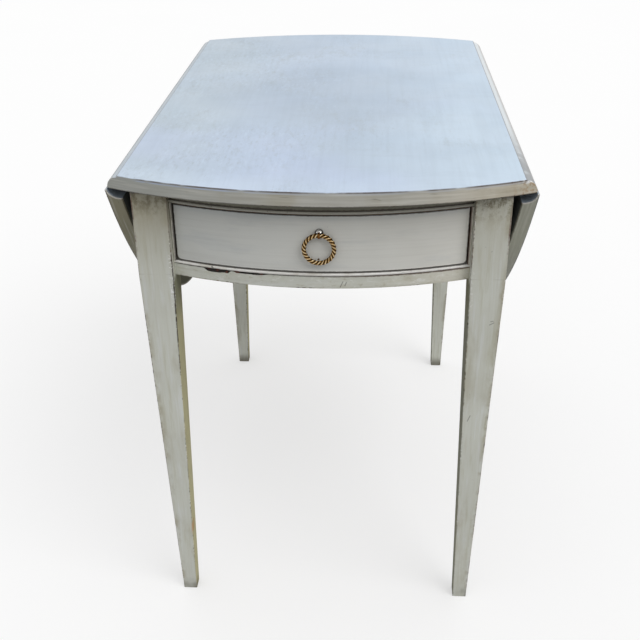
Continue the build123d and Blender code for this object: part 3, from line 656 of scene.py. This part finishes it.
def board_joint(s):
    """Cove of a leaf, darkened as painted shade, or the top's shoulder, darker on its outer part and greyer
    in patches towards the front on the right, with glaze in its quirk.
    """
    if s.side:
        # Painted shade in the hollow of the cove
        s.over(s.times(s.joint, s.off_oval, 0.3), COVE_SHADE)
        quirk = s.size(s.plus(s.across, -PIN.x - RULE_GAP))
        s.filled(quirk, 1.2 * MM, s.times(s.face, 0.5), GLAZE_BROWN)
    else:
        right = s.ramp(s.x, -0.1, 0.1)
        shoulder = s.mix(right, SHOULDER_COAT[-1], SHOULDER_COAT[1])
        rim_tone = s.mix(right, SHOULDER_RIM[-1], SHOULDER_RIM[1])
        shoulder = s.mix(s.ramp(s.across, PIN.x + 5 * MM, PIN.x + 11 * MM, 0.0, 0.85), shoulder, rim_tone)
        # Greyer patches towards the front, on the right
        worn = s.times(s.ramp(s.y, -0.12, -0.33), s.ramp(s.run, 0.3, 0.5), right, 0.75)
        shoulder = s.mix(worn, shoulder, SHOULDER_GREYER)
        s.over(s.times(s.ramp(s.across, PIN.x - 0.2 * MM, PIN.x + 0.2 * MM), s.off_oval), shoulder)
        quirk = s.size(s.plus(s.across, -PIN.x))
        s.filled(quirk, 1.3 * MM, s.plus(s.times(right, 0.2), 0.4), GLAZE_BROWN)


def board_edge(s, edge):
    """Streaks and fine scratches along the rim; the top's is dimmer on the left and lighter and warmer on
    the right as painted light, with a painted highlight under its arris towards the left.
    """
    streak = s.noise(5, stretch=EDGE_GRAIN, detail=3, seed=s.seed + 13)
    if not s.side:
        # Painted light: the top's rim dimmer on the left, lighter and warmer on the right
        edge = s.mix(s.ramp(s.x, -0.02, -0.24), edge, EDGE_DIM)
        edge = s.mix(s.ramp(s.x, 0.06, 0.25), edge, EDGE_WARM)
    edge = s.mix(s.ramp(streak, 0.45, 0.75, 0.0, 0.26), edge, GLAZE_THIN)
    edge = s.mix(s.ramp(streak, 0.48, 0.3, 0.0, 0.3), edge, GROUND_AND_HIGHLIGHT)
    edge = s.mix(s.ramp(s.run, 0.46, 0.7, 0.0, 0.3), edge, SOIL)
    if not s.side:
        # Painted highlight: a pale band just under the top's arris, stronger to the left
        pale = s.times(s.band(s.below, 2.0 * MM, 3.0 * MM, 1.0 * MM), s.ramp(s.run, 0.36, 0.56))
        edge = s.mix(s.times(pale, s.ramp(s.x, 0.0, -0.14, 0.3, 0.75)), edge, TOP_LAVENDER)
    scratch = s.noise(9, stretch=EDGE_GRAIN, detail=2, seed=s.seed + 14)
    edge = s.mix(s.times(s.ramp(scratch, 0.66, 0.71), s.ramp(s.run, 0.5, 0.58), 0.5), edge, GLAZE_AND_SHADE)
    s.over(s.rim, edge)


def board_wear(s):
    """Rubbed arrises, worst by the rule joints, and the top's stained and flaked right corners."""
    s.specked(0.4)
    corner = s.ramp(s.size(s.plus(s.across, -PIN.x)), 40 * MM, 5 * MM)
    s.rubbed(s.least(s.upper, s.lower), 2.2 * MM, s.plus(s.times(corner, 0.5), 0.75), 0.3)
    s.over(s.times(s.ramp(s.upper, 1.5 * ARRIS, 0.8 * ARRIS), s.ramp(s.run, 0.34, 0.56), 0.85), PLUM)
    if s.side:
        # Painted highlight: a light line along the lip of the cove
        lip = s.band(s.from_pin, COVE, COVE + 0.9 * MM, 0.6 * MM)
        s.over(s.times(s.on_oval, lip, 0.85), GROUND_AND_HIGHLIGHT)
    else:
        stained = s.times(s.rim, s.ramp(s.x, PIN.x - 26 * MM, PIN.x + 6 * MM))
        s.over(s.times(stained, s.ramp(s.chip, 0.46, 0.62), 0.6), RUST)
        flaked = s.times(s.ramp(s.x, PIN.x - 8 * MM, PIN.x + 2 * MM), s.ramp(s.upper, 6 * MM, 3 * MM))
        s.over(s.times(flaked, s.ramp(s.chip, 0.50, 0.44), 0.8), CHALK)
    s.filled(s.lower, 2.0 * MM, 0.6)


def board_under(s):
    """Painted margin round old bare wood; a leaf's margin is painted shade, cool and dark near the joint
    and olive further out as painted green light from below.
    """
    level = s.ramp(s.height, UNDER + 0.7 * MM, UNDER + 0.3 * MM)
    underside = s.times(level, s.ramp(s.inset, 1 * MM, 3 * MM))
    margin = UNDER_TOP
    if s.side:
        # Painted shade near the joint, painted olive bounce light further out
        margin = s.mix(s.ramp(s.across, PIN.x + 0.03, PIN.x + 0.13), UNDER_COOL_SHADE, UNDER_OLIVE_BOUNCE)
    s.over(underside, margin)
    s.matt(underside, 0.45)
    ragged = s.plus(s.times(s.plus(s.run, -0.5), 40 * MM), s.inset)
    s.bare(s.times(underside, s.ramp(ragged, 38 * MM, 52 * MM)), OLD_WOOD, OLD_WOOD_LIGHT, TOP_GRAIN)


def board_paint(name, node, side, seed, edge_coat):
    """Top board, or the leaf on one side: cool upper face, warmer rim, old wood underneath."""
    s = BoardPaint(name, side, seed)
    board_tone(s)
    board_scuffs(s)
    board_joint(s)
    board_edge(s, edge_coat)
    board_wear(s)
    board_under(s)
    dress(s.finish(0.40), node)


def drawer_paint():
    """Drawer front, cool on the left and lighter and warmer to the right as painted light, darker towards
    its top as painted shade, with glaze round its margin and in its lower corners, a painted highlight by
    its right edge and its small hole painted dark, bare behind.
    """
    s = Paint("drawer paint", DRAWER_COOL, 5.5)
    # Painted light: lighter and warmer towards the right
    s.over(s.ramp(s.x, -0.17, 0.17, kind="LINEAR"), DRAWER_WARM)
    s.clouded(0.10)
    s.brushed(ALONG_X, 0.06)
    s.soiled(0.14, (0.3, 1, 1.6), GLAZE_COOL_AND_SHADE)
    s.specked(0.35)
    out = s.minus(FRONT_HIGH.x, s.size(s.x))
    up = s.minus(FRONT_HIGH.z, s.z)
    down = s.plus(s.z, -FRONT_LOW.z)
    # Painted shade of the overhanging top: darker towards the top edge, with a dark line of glaze and
    # painted shade along it
    s.over(s.ramp(up, 12 * MM, 0.0, 0.0, 0.2), GLAZE_COOL_AND_SHADE)
    s.filled(up, 1.8 * MM, 0.8)
    s.filled(out, 0.7 * MM, 0.7, s.mix(s.ramp(s.x, -0.05, 0.05), GLAZE_AND_SHADE, GLAZE_BROWN))
    s.filled(down, 0.4 * MM, 0.6, GLAZE_BROWN)
    # Painted highlight: a light line by the right edge
    s.over(s.times(s.band(out, 1.2 * MM, 1.8 * MM, 0.6 * MM), s.ramp(s.x, 0.0, 0.1), 0.5), GROUND_AND_HIGHLIGHT)
    within = [s.math("SUBTRACT", FRONT_CORNER, away, clamp=True) for away in (out, down)]
    s.filled(s.minus(FRONT_CORNER, s.length(*within)), 1.7 * MM, 0.9)
    # Painted shade: the small hole and its rim painted dark
    peg = s.length(s.plus(s.x, -PEG_X), s.plus(s.z, -PEG_Z))
    s.over(s.ramp(peg, PEG_RADIUS + 0.7 * MM, PEG_RADIUS), GLAZE_AND_SHADE)
    s.bare(s.faces(TO_FRONT, 0.3, 0.1), WOOD, WOOD_LIGHT, ALONG_X)
    dress(s.finish(), "drawer_front")


def lower_rail_paint():
    """Lower drawer rail: glaze under the bead, two chips and two scratches."""
    s = Paint("lower rail paint", FRAME_COAT, 6.5)
    s.streaked((1, 6, 9), 0.4, 0.4)
    s.over(s.ramp(s.x, 0.03, 0.18, 0.0, 0.6), RAIL_WARM)
    s.clouded(0.12)
    s.brushed(ALONG_X, 0.12)
    s.soiled(s.ramp(s.x, -0.1, 0.15, 0.12, 0.45), (0.4, 1, 1))
    s.specked(0.8)
    rough = s.noise(150, stretch=(0.45, 1, 1), detail=5, roughness=0.75, seed=s.seed + 16)
    s.over(s.ramp(rough, 0.53, 0.68, 0.0, 0.34), SOIL)
    s.over(s.ramp(rough, 0.46, 0.32, 0.0, 0.45), CHALK)
    under = s.minus(BEAD_LOW, s.z)
    s.filled(under, 1.8 * MM, s.ramp(s.run, 0.36, 0.6, 0.55, 0.95))
    s.filled(under, 2.8 * MM, s.ramp(s.x, -0.02, 0.07, 0.0, 0.85), GLAZE_BROWN)
    s.rubbed_below()
    profile = s.noise(45, stretch=(1, 0, 0), detail=3, roughness=0.6, seed=3.3)
    chip = s.times(s.ramp(profile, 0.3, 0.6, 0.6, 1.0), CHIP_DEPTH)
    chip = s.times(chip, s.band(s.x, CHIP_FROM, CHIP_TO, 10 * MM))
    thin = s.times(s.ramp(profile, 0.3, 0.56, 0.65, 1.0), THIN_DEPTH)
    thin = s.times(thin, s.band(s.x, THIN_FROM, THIN_TO, 14 * MM))
    gone = s.ramp(s.minus(s.most(chip, thin), under), 0.0, 0.4 * MM)
    tone = s.noise(110, detail=3, seed=9.1)
    s.over(gone, s.mix(s.ramp(tone, 0.52, 0.62), CHIP_BLACK, CHIP_RED))
    s.matt(gone, 0.4)
    s.relief.append((gone, -0.4 * MM))
    for start, finish in SCRATCHES["front_lower_rail"]:
        s.scratched(start, finish)
    dress(s.finish(), "front_lower_rail")


def plain_rail_paint(name, nodes, grain, soil, seed, inward):
    """Rails that are less seen, with glaze under the top and bare wood on the inside."""
    s = Paint(name, FRAME_COAT, seed)
    s.clouded(0.16)
    s.brushed(grain, 0.14)
    s.soiled(soil, (0.5, 0.5, 1))
    s.filled(s.minus(UNDER, s.z), 7 * MM, 0.7)
    s.rubbed_below()
    s.bare(s.faces(inward, 0.5, 0.8), WOOD, WOOD_LIGHT, grain)
    dress(s.finish(), *nodes)


def upper_rail_paint():
    """Narrow rail in the shade of the top, painted dark with heavy dark clouding and dark lines as painted
    shade.
    """
    s = Paint("upper rail paint", UPPER_RAIL_SHADE, 7.1)
    s.clouded(0.3, GLAZE_AND_SHADE)
    s.brushed(ALONG_X, 0.3)
    s.filled(s.plus(s.z, -BEAD_HIGH), 3 * MM, 0.9)
    s.filled(s.minus(UNDER, s.z), 5 * MM, 0.7)
    dress(s.finish(), "front_upper_rail")


def bead_paint(name, node, along, coat, seed):
    """Cock bead: its coat shows on the crown, glaze down both sides; the lower bead's light coat is a
    painted highlight, the upper bead's dark coat painted shade.
    """
    low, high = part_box(node)
    s = Paint(name, coat, seed)
    s.clouded(0.12)
    if along == "x":
        place, start, end, grain = s.z, low.z, high.z, ALONG_X
    else:
        place, start, end, grain = s.x, low.x, high.x, ALONG_Z
    s.brushed(grain, 0.16)
    s.soiled(0.35)
    s.filled(s.plus(place, -start), 0.6 * MM, 0.8)
    s.filled(s.minus(end, place), 0.3 * MM, 0.6)
    if along == "z":
        quirk = s.plus(s.size(s.x), -min(abs(low.x), abs(high.x)))
        s.filled(quirk, 2.2 * MM, 0.75, GLAZE_AND_SHADE if low.x < 0 else GLAZE_BROWN)
    s.over(s.times(s.ramp(s.chip, 0.6, 0.68), s.ramp(s.run, 0.52, 0.62), 0.7), GLAZE_AND_SHADE)
    dress(s.finish(), node)


for end, ahead in ENDS:
    for hand, side in HANDS:
        leg_paint(end, hand, ahead, side)
board_paint("top paint", "top_board", 0, 0.4, EDGE_COAT)
for hand, side in HANDS:
    board_paint(f"leaf paint {hand}", f"leaf_{hand}", side, 2.4 * side, LEAF_EDGE_COAT_AND_SHADE[side])
    bead_paint(f"bead paint {hand}", f"bead_{hand}", "z", SIDE_BEAD_COAT, 8.5 + side)
    sides = [f"side_rail_{hand}", f"fly_rail_front_{hand}", f"fly_rail_back_{hand}", f"fly_{hand}"]
    plain_rail_paint(f"apron paint {hand}", sides, ALONG_Y, 0.35, 9.5 + side, (-side, 0.0, 0.0))
drawer_paint()
lower_rail_paint()
upper_rail_paint()
plain_rail_paint("back rail paint", ["back_rail"], ALONG_X, 0.3, 4.2, TO_FRONT)
bead_paint("lower bead paint", "bead_bottom", "x", BEAD_HIGHLIGHT_COAT, 7.5)
bead_paint("upper bead paint", "bead_top", "x", UPPER_BEAD_SHADE, 7.9)


def wood(name, grain, seed):
    """Unfinished wood, its rings drawn out along the grain."""
    s = Shade(name)
    rings = s.noise(7.0, stretch=grain, detail=5, roughness=0.6, seed=seed + 1, warp=0.4)
    fibre = s.noise(30.0, stretch=grain, detail=3, seed=seed + 2)
    stain = s.noise(9, detail=4, seed=seed + 3)
    colour = s.mix(s.ramp(rings, 0.35, 0.65), WOOD_LIGHT, WOOD)
    colour = s.mix(s.ramp(fibre, 0.5, 0.75, 0.0, 0.45), colour, WOOD_FIBRE)
    colour = s.mix(s.ramp(stain, 0.45, 0.75, 0.0, 0.4), colour, WOOD_STAIN)
    s.set(base_color=colour, roughness=s.ramp(rings, 0.3, 0.7, 0.6, 0.75), specular_ior_level=0.3)
    s.bump((fibre, 0.12 * MM), (rings, 0.1 * MM))
    return s.material


def brass():
    """Antique brass: bright on the ridges, brown-black between them."""
    s = Shade("antique brass")
    groove = s.add("ShaderNodeAttribute", attribute_name="groove").outputs["Fac"]
    tarnish = s.noise(420, detail=4, seed=1)
    colour = s.mix(s.ramp(tarnish, 0.38, 0.66), BRASS_RIDGE, BRASS_DULL)
    colour = s.mix(s.ramp(groove, 0.01, 0.16), colour, BRASS_FLANK)
    deep = s.ramp(s.plus(groove, s.times(s.plus(tarnish, -0.5), 0.3)), 0.2, 0.58)
    colour = s.mix(deep, colour, BRASS_DEEP)
    s.set(base_color=colour, metallic=1.0)
    s.set(roughness=s.plus(s.ramp(tarnish, 0.3, 0.7, 0.24, 0.38), s.times(deep, 0.35)))
    s.bump((tarnish, 0.08 * MM))
    return s.material


def polished_post():
    """Ball of the ring's post with a painted highlight towards the front and above, painted dark reflection
    round its flanks, and a brown eye of painted shade where the ring hangs.
    """
    s = Shade("polished post")
    low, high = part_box("pull_post")
    ring_low, ring_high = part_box("pull_ring")
    radius = (high.x - low.x) / 2
    wire = (ring_high.y - ring_low.y) / 2
    axis_y, axis_z = ring_low.y + wire, ring_high.z - wire
    centre = Vector((0.0, axis_y + BALL_BEHIND, high.z - radius))
    offset = s.add("ShaderNodeVectorMath", operation="SUBTRACT")
    s.plug(offset.inputs[0], s.place)
    s.plug(offset.inputs[1], centre)
    # Painted highlight where the ball faces the front and above, dark elsewhere
    rubbed = s.times(s.dot(offset.outputs[0], BALL_HIGHLIGHT_TOWARD), 1 / radius)
    tarnish = s.noise(300, detail=4, seed=4)
    bright = s.ramp(s.plus(rubbed, s.times(s.plus(tarnish, -0.5), 0.2)), 0.66, 0.88)
    colour = s.mix(bright, POST_DARK, POST_HIGHLIGHT)
    near = s.length(s.plus(s.y, -axis_y), s.plus(s.z, -axis_z))
    reach = wire + EYE_REACH
    eye = s.times(s.ramp(near, reach, reach - EYE_SOFT), s.ramp(s.size(s.x), EYE_HALF, EYE_HALF - EYE_SOFT))
    s.set(base_color=s.mix(eye, colour, POST_EYE_SHADE), metallic=1.0)
    s.set(roughness=s.ramp(tarnish, 0.3, 0.7, 0.34, 0.46))
    s.bump((tarnish, 0.03 * MM))
    return s.material


def old_iron(name, face, rust, shine):
    """Darkened hinge and screw metal with rust in patches."""
    s = Shade(name)
    spots = s.noise(160, detail=5, roughness=0.65, seed=2)
    fine = s.noise(900, detail=2, seed=3)
    s.set(base_color=s.mix(s.ramp(spots, 0.48, 0.66), face, rust), metallic=0.75)
    s.set(roughness=s.ramp(spots, 0.35, 0.7, shine, shine + 0.25))
    s.bump((spots, 0.1 * MM), (fine, 0.04 * MM))
    return s.material


LONG_WOOD = wood("slide wood", ALONG_Y, 1.0)
for part in ("runner", "guide", "kicker", "side"):
    dress(LONG_WOOD, *(f"drawer_{part}_{hand}" for hand, _ in HANDS))
dress(wood("drawer wood", WOOD_ALONG_X, 2.0), "drawer_back", "drawer_bottom", "drawer_stops")
IRON = old_iron("hinge iron", IRON_FACE, IRON_RUST, 0.45)
STEEL = old_iron("screw steel", STEEL_FACE, STEEL_RUST, 0.35)
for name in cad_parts:
    if "plate" in name:
        dress(IRON, name)
    if "screws" in name or "pin" in name or "nails" in name:
        dress(STEEL, name)
BRASS = brass()
dress(polished_post(), "pull_post", "pull_nut")


def rope_groove(turn):
    """Nothing on the crown of a strand, one in the sharp groove between two."""
    return 1 - abs(cos(STRANDS * turn / 2))


def rope_rows(mesh):
    """Rings of points round the wire, each with its depth in the groove."""
    low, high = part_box("pull_ring")
    centre = (low + high) / 2
    wire = (high.y - low.y) / 2
    ring = (high.x - low.x) / 2 - wire
    groove = mesh.verts.layers.float.new("groove")
    rows = []
    for step in range(ROPE_STEPS):
        around = 2 * pi * step / ROPE_STEPS
        row = []
        for place in range(ROPE_SIDES):
            section = 2 * pi * place / ROPE_SIDES
            hollow = rope_groove(section - TURNS * around)
            radius = wire * (1 - ROPE_DEPTH * hollow)
            reach = ring + radius * cos(section)
            point = Vector((reach * cos(around), -radius * sin(section), reach * sin(around)))
            vert = mesh.verts.new(centre + point)
            vert[groove] = hollow
            row.append(vert)
        rows.append(row)
    return rows


def rope_ring():
    """Ring of twisted strands, each ridge running inward as it goes round to the left."""
    mesh = bmesh.new()
    rows = rope_rows(mesh)
    for step, row in enumerate(rows):
        ahead = rows[(step + 1) % ROPE_STEPS]
        for place in range(ROPE_SIDES):
            beside = (place + 1) % ROPE_SIDES
            mesh.faces.new((row[place], row[beside], ahead[beside], ahead[place]))
    bmesh.ops.recalc_face_normals(mesh, faces=mesh.faces)
    for face in mesh.faces:
        face.smooth = True
    data = bpy.data.meshes.new("rope_ring")
    mesh.to_mesh(data)
    mesh.free()
    piece = bpy.data.objects.new("rope_ring", data)
    bpy.context.scene.collection.objects.link(piece)
    data.materials.append(BRASS)
    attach(piece, "ring")
    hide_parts("pull_ring")


rope_ring()


def floor_material():
    """White to the camera with a soft shadow, darker as a source of bounced light."""
    s = Shade("pale floor")
    seen = s.mix(s.noise(2.0, detail=2), grey(FLOOR_SEEN), grey(FLOOR_SEEN + FLOOR_MOTTLE))
    shown = s.shown()
    s.set(base_color=s.mix(shown, grey(FLOOR_BOUNCE), seen), roughness=0.9, specular_ior_level=0.0)
    s.set(emission_color=WHITE, emission_strength=s.times(shown, FLOOR_GLOW))
    return s.material


def stage():
    """Pale floor under the feet."""
    bpy.ops.mesh.primitive_plane_add(size=2 * FLOOR_HALF, location=(0, 0, -FLOOR_DROP))
    floor = bpy.context.object
    floor.name = "floor"
    floor.data.materials.append(floor_material())


def sky():
    """A dome that is brighter overhead, and white where it is seen."""
    world = bpy.data.worlds.new("studio")
    bpy.context.scene.world = world
    world.use_nodes = True
    dome = Nodes(world.node_tree)
    height = dome.split(dome.add("ShaderNodeTexCoord").outputs["Generated"])[2]
    level = dome.ramp(height, 0.0, 1.0, SKY_LEVEL, SKY_ABOVE, "LINEAR")
    background = dome.add("ShaderNodeBackground")
    dome.plug(background.inputs["Color"], WHITE)
    dome.plug(background.inputs["Strength"], dome.ramp(dome.shown(), 0.0, 1.0, level, 1.0, "LINEAR"))
    output = dome.add("ShaderNodeOutputWorld")
    dome.plug(output.inputs["Surface"], background.outputs["Background"])


def lamp():
    """One broad lamp from the front right."""
    data = bpy.data.lights.new("soft key", "SUN")
    data.energy = SUN
    data.angle = radians(SUN_ANGLE)
    holder = bpy.data.objects.new("soft key", data)
    holder.rotation_euler = Vector(SUN_FROM).to_track_quat("Z", "Y").to_euler()
    bpy.context.scene.collection.objects.link(holder)


def camera():
    """The photograph's point of view."""
    yaw, down, roll = (radians(a) for a in (CAMERA_YAW, CAMERA_DOWN, CAMERA_ROLL))
    ahead = Vector((sin(yaw) * cos(down), cos(yaw) * cos(down), -sin(down)))
    level = Vector((cos(yaw), -sin(yaw), 0))
    lift = level.cross(ahead)
    right = cos(roll) * level + sin(roll) * lift
    up = cos(roll) * lift - sin(roll) * level
    data = bpy.data.cameras.new("camera")
    data.sensor_width = SENSOR
    data.lens = CAMERA_LENS
    data.clip_start = CLIP_NEAR
    data.clip_end = CLIP_FAR
    holder = bpy.data.objects.new("camera", data)
    turn = Matrix((right, up, -ahead)).transposed().to_4x4()
    holder.matrix_world = Matrix.Translation(CAMERA_PLACE) @ turn
    bpy.context.scene.collection.objects.link(holder)
    bpy.context.scene.camera = holder


stage()
sky()
lamp()
camera()
bpy.context.scene.view_settings.view_transform = "Standard"
